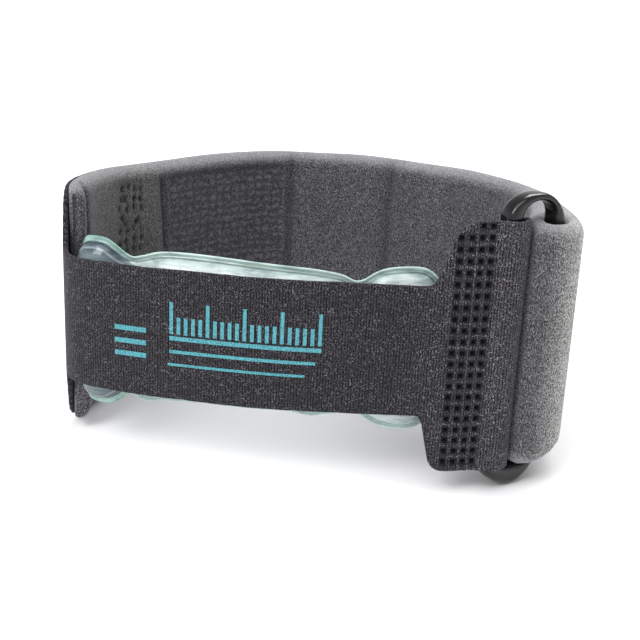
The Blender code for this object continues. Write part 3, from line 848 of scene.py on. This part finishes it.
def hook_patch():
    line = eased(beside(cut_line(LINE, PATCH_START, PATCH_END), PATCH_TO_LINE))
    total = lengths_along(line)[-1]
    ends = np.array([0.0, 0.0001, 0.0003, 0.0006])
    along = merged(np.arange(0.0, total, 0.0012), [ends, total - ends], 0.0004)
    reach = PATCH_HEIGHT / 2 - corner_drop(np.minimum(along, total - along), PATCH_CORNER)
    shares = np.linspace(-1, 1, 60)
    heights = reach[:, None] * shares[None, :]
    edge = np.minimum(reach[:, None] - np.abs(heights), np.minimum(along, total - along)[:, None])
    half_thick = PATCH_THICKNESS / 2 * rounded(edge, 0.0004)
    grid_along = np.repeat(along[:, None], len(shares), axis=1)
    outer = on_line(line, along, heights, half_thick)
    inner = on_line(line, along, heights, -half_thick)
    return closed_sheet("hook_tape_patch", outer, inner, np.stack([grid_along, heights], axis=-1)), total


# Materials


class Shader:
    """A small helper that adds and joins the nodes of one material."""

    def __init__(self, name, roughness, **values):
        self.material = bpy.data.materials.new(name)
        self.material.use_nodes = True
        self.tree = self.material.node_tree
        self.main = self.tree.nodes["Principled BSDF"]
        self.main.inputs["Roughness"].default_value = roughness
        for socket, value in values.items():
            self.main.inputs[socket.replace("_", " ")].default_value = value

    def add(self, kind, **settings):
        node = self.tree.nodes.new(kind)
        for key, value in settings.items():
            setattr(node, key, value)
        return node

    def join(self, start, end):
        self.tree.links.new(start, end)

    def maths(self, operation, first, second=None, third=None):
        node = self.add("ShaderNodeMath", operation=operation)
        for slot, value in enumerate((first, second, third)):
            if value is None:
                continue
            if isinstance(value, (int, float)):
                node.inputs[slot].default_value = value
            else:
                self.join(value, node.inputs[slot])
        return node.outputs[0]

    def noise(self, scale, detail=2.0, roughness=0.5, stretch=None, coordinates="Object"):
        spot = self.add("ShaderNodeTexCoord").outputs[coordinates]
        if stretch is not None:
            mapping = self.add("ShaderNodeMapping")
            mapping.inputs["Scale"].default_value = stretch
            self.join(spot, mapping.inputs["Vector"])
            spot = mapping.outputs["Vector"]
        texture = self.add("ShaderNodeTexNoise")
        texture.inputs["Scale"].default_value = scale
        texture.inputs["Detail"].default_value = detail
        texture.inputs["Roughness"].default_value = roughness
        self.join(spot, texture.inputs["Vector"])
        return texture.outputs["Fac"]

    def ramp(self, factor, stops):
        node = self.add("ShaderNodeValToRGB")
        elements = node.color_ramp.elements
        while len(elements) < len(stops):
            elements.new(0.5)
        for element, (place, colour) in zip(elements, stops):
            element.position = place
            element.color = (*colour, 1.0)
        self.join(factor, node.inputs["Fac"])
        return node.outputs["Color"]

    def mix(self, factor, first, second, blend="MIX"):
        node = self.add("ShaderNodeMix", data_type="RGBA", blend_type=blend)
        for slot, value in ((0, factor), (6, first), (7, second)):
            if isinstance(value, (int, float)):
                node.inputs[slot].default_value = value
            elif isinstance(value, tuple):
                node.inputs[slot].default_value = (*value, 1.0)
            else:
                self.join(value, node.inputs[slot])
        return node.outputs[2]

    def bump(self, height, strength, distance):
        node = self.add("ShaderNodeBump")
        node.inputs["Strength"].default_value = strength
        node.inputs["Distance"].default_value = distance
        self.join(height, node.inputs["Height"])
        self.join(node.outputs["Normal"], self.main.inputs["Normal"])

    def places(self):
        """The two surface lengths in metres that the pieces carry as their UV layer."""
        split = self.add("ShaderNodeSeparateXYZ")
        self.join(self.add("ShaderNodeUVMap", uv_map="places").outputs["UV"], split.inputs["Vector"])
        return split.outputs["X"], split.outputs["Y"]

    def span(self, value, start, end, low=0.0, high=1.0):
        """The value's range from start to end, brought to the range from low to high and kept there."""
        node = self.add("ShaderNodeMapRange")
        limits = {"From Min": start, "From Max": end, "To Min": low, "To Max": high}
        for socket, limit in limits.items():
            node.inputs[socket].default_value = limit
        self.join(value, node.inputs["Value"])
        return node.outputs["Result"]

    def humps(self, value, pitch):
        """Rows of humps from 0 to 1 along a length, one to each pitch."""
        return self.maths("ABSOLUTE", self.maths("SINE", self.maths("MULTIPLY", value, math.pi / pitch)))

    def dent(self):
        """How deep the surface is pressed in, from 0 to 1, which the materials darken as painted shade, in
        the band's pits also as the pressed knit's own black.
        """
        return self.add("ShaderNodeAttribute", attribute_name="dent").outputs["Fac"]


def grey(level):
    return (level, level, level)


def knit_material(name, base, fleck):
    shader = Shader(name, 0.90, Sheen_Weight=0.07, Sheen_Roughness=0.5, Specular_IOR_Level=0.20)
    along, down = shader.places()
    rib = shader.humps(along, RIB_PITCH)
    loop = shader.maths("MULTIPLY", down, 2 * math.pi / (RIB_PITCH * 1.1))
    loop = shader.maths("SINE", shader.maths("MULTIPLY_ADD", rib, 1.3, loop))
    fuzz = shader.noise(3600, 1.0, 0.6, stretch=(1.0, 1.0, 0.55))
    height = shader.maths("MULTIPLY_ADD", loop, 0.03, shader.maths("MULTIPLY", rib, 0.48))
    height = shader.maths("MULTIPLY_ADD", fuzz, 1.15, height)
    shader.bump(height, 0.9, 0.0003)
    dark = tuple(0.12 * channel for channel in base)
    light = tuple(3.6 * channel for channel in base)
    body = shader.ramp(height, ((0.58, dark), (0.84, base), (1.0, light)))
    spots = shader.ramp(shader.noise(2700, 0.0, 0.5), ((0.60, grey(0.0)), (0.72, grey(1.0))))
    drift = shader.ramp(shader.noise(300, 3.0, 0.6), ((0.35, grey(0.35)), (0.65, grey(1.0))))
    body = shader.mix(shader.mix(1.0, spots, drift, "MULTIPLY"), body, fleck)
    # Painted light: the knit is made up to 1.75 times lighter round the ring's left bar and the loop about
    # it, fading out 30 mm past the bar, against the shade where the loop turns away.
    body = shader.mix(1.0, body, shader.span(along, 0.030, 0.002, 1.0, 1.75), "MULTIPLY")
    # The dents, here the pits, are darkened toward near black: partly the pressed knit's own black, partly
    # painted shade in them.
    shader.join(shader.mix(shader.dent(), body, (0.0025, 0.0022, 0.0030)), shader.main.inputs["Base Color"])
    return shader.material


def waffle(shader, along, down):
    """Where loops stand up over the hook patch that presses through the strap: a field of short dashes."""
    across = shader.maths("MULTIPLY_ADD", shader.noise(330, 2.0, 0.6), 0.0065, along)
    level = shader.maths("MULTIPLY_ADD", shader.noise(410, 2.0, 0.6), 0.0048, down)
    columns = shader.humps(across, DASH_PITCH_ALONG)
    rows = shader.humps(level, DASH_PITCH_DOWN)
    dashes = shader.maths("MULTIPLY", shader.span(columns, 0.25, 0.70), shader.span(rows, 0.55, 0.95))
    dashes = shader.maths("MULTIPLY", dashes, shader.span(shader.noise(1500, 2.0, 0.7), 0.32, 0.58))
    start, end = PATCH_START - FOLD, PATCH_END - FOLD
    after_start = shader.span(along, start + 0.001, start + 0.003)
    before_end = shader.span(along, end - 0.003, end - 0.001, 1.0, 0.0)
    inside_edges = shader.span(shader.maths("ABSOLUTE", down), 0.0310, 0.0325, 1.0, 0.0)
    inside = shader.maths("MULTIPLY", shader.maths("MULTIPLY", after_start, before_end), inside_edges)
    return shader.maths("MULTIPLY", dashes, inside)


def loop_cloth_material(name):
    """Brushed loop cloth: dark heather, plainer grey over the weld, lighter and warmer on the tail, with a
    painted highlight along its rims and painted shade in its dents and on the roll's left side.
    """
    shader = Shader(name, 0.95, Sheen_Weight=0.18, Sheen_Roughness=0.5, Specular_IOR_Level=0.2)
    along, down = shader.places()
    fine = shader.noise(5200, 1.0, 0.6)
    fibre = shader.noise(3000, 2.0, 0.7, stretch=(1.0, 1.0, 0.6))
    inside, welded, tail = (shader.ramp(fibre, stops) for stops in (INSIDE_CLOTH, WELDED_CLOTH, TAIL_CLOTH))
    slanted = shader.maths("MULTIPLY_ADD", down, STEP_SLANT, along)
    before_step = shader.span(slanted, 0.0436, 0.0472, 1.0, 0.0)
    under_weld = shader.maths("MULTIPLY", shader.span(along, 0.005, 0.008), before_step)
    cloth = shader.mix(under_weld, inside, welded)
    # The tail's lighter cloth comes in only past the roll's left side: partly the tail's own colour, partly
    # painted shade that keeps the roll's left side as dark as the inside.
    cloth = shader.mix(shader.span(along, 0.2495, 0.2595), cloth, tail)
    cloth = shader.mix(waffle(shader, along, down), cloth, (0.225, 0.221, 0.232))
    # Painted highlight: the cloth is lightened toward a pale grey along the strap's top rim, and along its
    # bottom rim from 42 to 56 mm on, where the rounded edge faces the light.
    rim_highlight_mask = shader.maths("MAXIMUM", shader.span(down, -0.031, -0.029), shader.span(along, 0.042, 0.056))
    rim_highlight_mask = shader.maths("MULTIPLY", rim_highlight_mask, shader.span(shader.maths("ABSOLUTE", down), 0.0325, 0.0365))
    wear_and_rim_highlight = shader.mix(shader.maths("MULTIPLY", rim_highlight_mask, 0.70), cloth, (0.29, 0.287, 0.30))
    grain = shader.ramp(fibre, ((0.30, grey(0.45)), (0.65, grey(1.35))))
    cloth = shader.mix(rim_highlight_mask, cloth, shader.mix(1.0, wear_and_rim_highlight, grain, "MULTIPLY"))
    shade = shader.ramp(shader.noise(110, 3.0, 0.55), ((0.30, grey(0.88)), (0.70, grey(1.08))))
    cloth = shader.mix(1.0, cloth, shade, "MULTIPLY")
    glints = shader.ramp(shader.noise(3400, 0.0, 0.5), ((0.70, grey(0.0)), (0.80, grey(1.0))))
    cloth = shader.mix(glints, cloth, (0.36, 0.355, 0.36))
    # Painted shade: the cloth is darkened toward near black in the dents that the back strap gives.
    pressed = shader.maths("MULTIPLY", shader.dent(), 0.85)
    shader.join(shader.mix(pressed, cloth, (0.012, 0.011, 0.013)), shader.main.inputs["Base Color"])
    height = shader.maths("MULTIPLY_ADD", fine, 0.6, fibre)
    shader.bump(height, 0.7, 0.0003)
    return shader.material


def plastic_material():
    shader = Shader("black_plastic_moulded", 0.20, Specular_IOR_Level=0.42, IOR=1.5)
    stops = ((0.3, (0.0045, 0.0042, 0.0052)), (0.7, (0.0085, 0.0080, 0.0095)))
    shade = shader.ramp(shader.noise(160, 3.0, 0.6), stops)
    shader.join(shade, shader.main.inputs["Base Color"])
    gloss = shader.span(shader.noise(420, 3.0, 0.6), 0.0, 1.0, 0.10, 0.24)
    shader.join(gloss, shader.main.inputs["Roughness"])
    shader.bump(shader.noise(900, 2.0, 0.5), 0.06, 0.0002)
    return shader.material


def film_material():
    """Clear film: mint at the cut edge, a dark line along the weld, pale and streaked over the air."""
    shader = Shader("clear_vinyl_film", 0.12, IOR=1.46, Specular_IOR_Level=0.5)
    inside, along = shader.places()
    share = shader.span(inside, 0.0, 0.006)
    streaks = shader.noise(150, 3.0, 0.6, stretch=(1.0, 1.0, 5.0))
    main = shader.ramp(
        share,
        (
            (0.00, (0.50, 0.70, 0.64)),
            (0.05, (0.72, 0.84, 0.80)),
            (0.10, (0.40, 0.56, 0.51)),
            (0.23, (0.48, 0.62, 0.57)),
            (0.28, (0.12, 0.18, 0.17)),
            (0.33, (0.54, 0.66, 0.64)),
            (0.75, (0.65, 0.71, 0.72)),
        ),
    )
    lobe = shader.ramp(
        share,
        (
            (0.01, (0.26, 0.50, 0.44)),
            (0.10, (0.40, 0.60, 0.54)),
            (0.24, (0.44, 0.62, 0.57)),
            (0.30, (0.07, 0.10, 0.12)),
            (0.46, (0.12, 0.16, 0.19)),
            (0.54, (0.36, 0.43, 0.45)),
            (0.60, (0.12, 0.16, 0.18)),
            (0.90, (0.20, 0.27, 0.29)),
        ),
    )
    film = shader.mix(shader.span(along, 0.019, 0.024), lobe, main)
    shade = shader.ramp(streaks, ((0.32, (0.70, 0.76, 0.78)), (0.55, (1.0, 1.0, 1.0))))
    shader.join(shader.mix(1.0, film, shade, "MULTIPLY"), shader.main.inputs["Base Color"])
    shader.join(shader.span(streaks, 0.3, 0.7, 0.45, 0.15), shader.main.inputs["Transmission Weight"])
    shader.bump(shader.noise(260, 2.0, 0.5), 0.10, 0.0003)
    return shader.material


def print_material():
    shader = Shader("teal_print", 0.6, Specular_IOR_Level=0.3)
    along, _ = shader.places()
    rib = shader.humps(along, RIB_PITCH)
    wear_and_rim_highlight = shader.noise(2600, 2.0, 0.65)
    shader.bump(shader.maths("MULTIPLY_ADD", wear_and_rim_highlight, 0.7, rib), 0.5, 0.0002)
    stops = ((0.33, (0.022, 0.060, 0.070)), (0.46, (0.070, 0.290, 0.340)), (0.70, (0.110, 0.400, 0.460)))
    shader.join(shader.ramp(wear_and_rim_highlight, stops), shader.main.inputs["Base Color"])
    return shader.material


def hook_material():
    shader = Shader("hook_tape_black", 0.55, Specular_IOR_Level=0.4)
    along, down = shader.places()
    rows = shader.humps(along, HOOK_PITCH_ALONG)
    dots = shader.humps(down, HOOK_PITCH_DOWN)
    height = shader.maths("MULTIPLY", rows, dots)
    shader.bump(height, 1.0, 0.0008)
    colour = shader.ramp(height, ((0.1, (0.006, 0.006, 0.007)), (0.8, (0.035, 0.035, 0.037))))
    shader.join(colour, shader.main.inputs["Base Color"])
    return shader.material


def floor_material():
    shader = Shader("pale_floor", 0.85, Specular_IOR_Level=0.1)
    shade = shader.ramp(shader.noise(3.0, 2.0, 0.5), ((0.3, (0.86, 0.86, 0.87)), (0.7, (0.89, 0.89, 0.90))))
    shader.join(shade, shader.main.inputs["Base Color"])
    return shader.material


# The studio


def floor():
    size = 40.0
    mesh = bpy.data.meshes.new("floor")
    corners = [(-size, -size, 0), (size, -size, 0), (size, size, 0), (-size, size, 0)]
    mesh.from_pydata(corners, [], [(0, 1, 2, 3)])
    mesh.materials.append(floor_material())
    made = bpy.data.objects.new("floor", mesh)
    bpy.context.scene.collection.objects.link(made)


def lamp(name, place, aim, size, power):
    data = bpy.data.lights.new(name, "AREA")
    data.shape = "RECTANGLE"
    data.size, data.size_y = size
    data.energy = power
    made = bpy.data.objects.new(name, data)
    made.location = place
    made.rotation_euler = (Vector(aim) - Vector(place)).to_track_quat("-Z", "Y").to_euler()
    bpy.context.scene.collection.objects.link(made)


def studio():
    middle = (0.0, 0.0, 0.045)
    lamp("key_light", (-0.45, -0.85, 0.95), middle, (0.6, 0.6), 9.0)
    lamp("rim_light", (0.25, 0.75, 0.90), middle, (0.9, 0.4), 9.0)
    sun = bpy.data.lights.new("top_light", "SUN")
    sun.energy = 1.7
    sun.angle = math.radians(50.0)
    made = bpy.data.objects.new("top_light", sun)
    made.rotation_euler = (math.radians(18.0), math.radians(-8.0), 0.0)
    bpy.context.scene.collection.objects.link(made)
    bpy.context.scene.world = studio_air()
    bpy.context.scene.view_settings.view_transform = "Standard"


def studio_air():
    """Light from all round, white near the horizon and dimmer above, as a studio's walls and ceiling."""
    world = bpy.data.worlds.new("studio_air")
    world.use_nodes = True
    tree = world.node_tree
    spot = tree.nodes.new("ShaderNodeTexCoord")
    split = tree.nodes.new("ShaderNodeSeparateXYZ")
    ramp = tree.nodes.new("ShaderNodeValToRGB")
    tree.links.new(spot.outputs["Generated"], split.inputs["Vector"])
    tree.links.new(split.outputs["Z"], ramp.inputs["Fac"])
    tree.links.new(ramp.outputs["Color"], tree.nodes["Background"].inputs["Color"])
    walls, ceiling = ramp.color_ramp.elements
    walls.position, walls.color = 0.25, (1.0, 1.0, 1.0, 1.0)
    ceiling.position, ceiling.color = 0.60, (0.38, 0.38, 0.39, 1.0)
    return world


def camera():
    """The photograph's viewpoint, in the strap frame, then leaned as the strap is."""
    place = Vector((0.15945, -0.2919, 0.1099))
    forward = Vector((-0.2271, 0.9207, -0.3173)).normalized()
    right = forward.cross(Vector((-0.1213, 0.2965, 0.9473))).normalized()
    up = right.cross(forward)
    turn = Matrix((right, up, -forward)).transposed().to_4x4()
    data = bpy.data.cameras.new("photo_camera")
    data.sensor_width = 36.0
    data.lens = 62.8
    data.clip_start = 0.01
    made = bpy.data.objects.new("photo_camera", data)
    made.matrix_world = STAND @ Matrix.Translation(place) @ turn
    bpy.context.scene.collection.objects.link(made)
    bpy.context.scene.camera = made


# The pieces


def dress(piece, material, node):
    piece.data.materials.append(material)
    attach(piece, "root")
    if node:
        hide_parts(node)


def main():
    camera()
    studio()
    floor()

    band, band_length, band_area = front_band()
    dress(band, knit_material("charcoal_knit", KNIT_COLOUR, FLECK_COLOUR), "front_band")
    dress(print_piece(), print_material(), None)

    strap = back_strap()
    dress(strap, loop_cloth_material("heather_loop_cloth"), "back_strap")

    dress(ring(), plastic_material(), "ring")

    cell = air_cell()
    dress(cell, film_material(), "air_cell")

    patch, patch_length = hook_patch()
    dress(patch, hook_material(), "hook_patch")


main()
